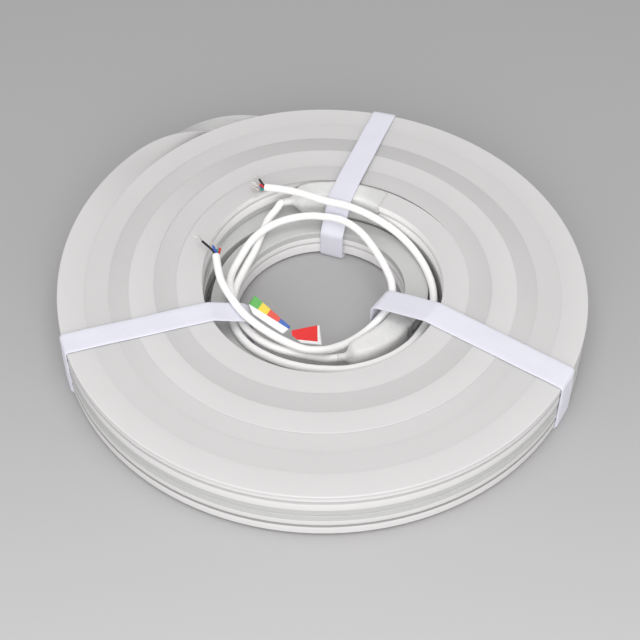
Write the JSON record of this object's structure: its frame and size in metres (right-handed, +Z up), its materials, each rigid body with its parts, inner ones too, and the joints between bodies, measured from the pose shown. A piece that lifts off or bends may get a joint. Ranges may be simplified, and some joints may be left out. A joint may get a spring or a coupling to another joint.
{
  "type": "neon flex strip roll",
  "caption": "Side-bending white neon flex strip wound as a flat two-layer roll, with end caps, cut-end leads and hook-and-loop straps.",
  "frame": {"origin": "on the ground under the middle of the box round the strip, its caps and its straps", "axes": "+Z up along the roll's axis, -Y towards the viewer of the picture, +X to the viewer's right"},
  "size_m": [0.3375, 0.3509, 0.0462],
  "materials": {
    "white_silicone": "satin white silicone",
    "cap_silicone": "satin milky silicone",
    "lead_sheath": "satin white cable sheath",
    "core_black": "satin insulation",
    "core_red": "satin insulation",
    "core_green": "satin insulation",
    "core_blue": "satin insulation",
    "tinned_copper": "bare stranded conductor",
    "strap_nylon": "woven hook-and-loop tape",
    "label_paper": "printed colour fields"
  },
  "bodies": {
    "root": {"end_cap_lower": "cap_silicone", "end_cap_upper": "cap_silicone", "label_long": "label_paper", "label_square": "label_paper", "lead_lower_conductor_black": "tinned_copper", "lead_lower_conductor_blue": "tinned_copper", "lead_lower_conductor_green": "tinned_copper", "lead_lower_conductor_red": "tinned_copper", "lead_lower_core_black": "core_black", "lead_lower_core_blue": "core_blue", "lead_lower_core_green": "core_green", "lead_lower_core_red": "core_red", "lead_lower_sheath": "lead_sheath", "lead_upper_conductor_black": "tinned_copper", "lead_upper_conductor_blue": "tinned_copper", "lead_upper_conductor_green": "tinned_copper", "lead_upper_conductor_red": "tinned_copper", "lead_upper_core_black": "core_black", "lead_upper_core_blue": "core_blue", "lead_upper_core_green": "core_green", "lead_upper_core_red": "core_red", "lead_upper_sheath": "lead_sheath", "neon_strip": "white_silicone", "strap_back": "strap_nylon", "strap_left": "strap_nylon", "strap_right": "strap_nylon"}
  },
  "joints": []
}
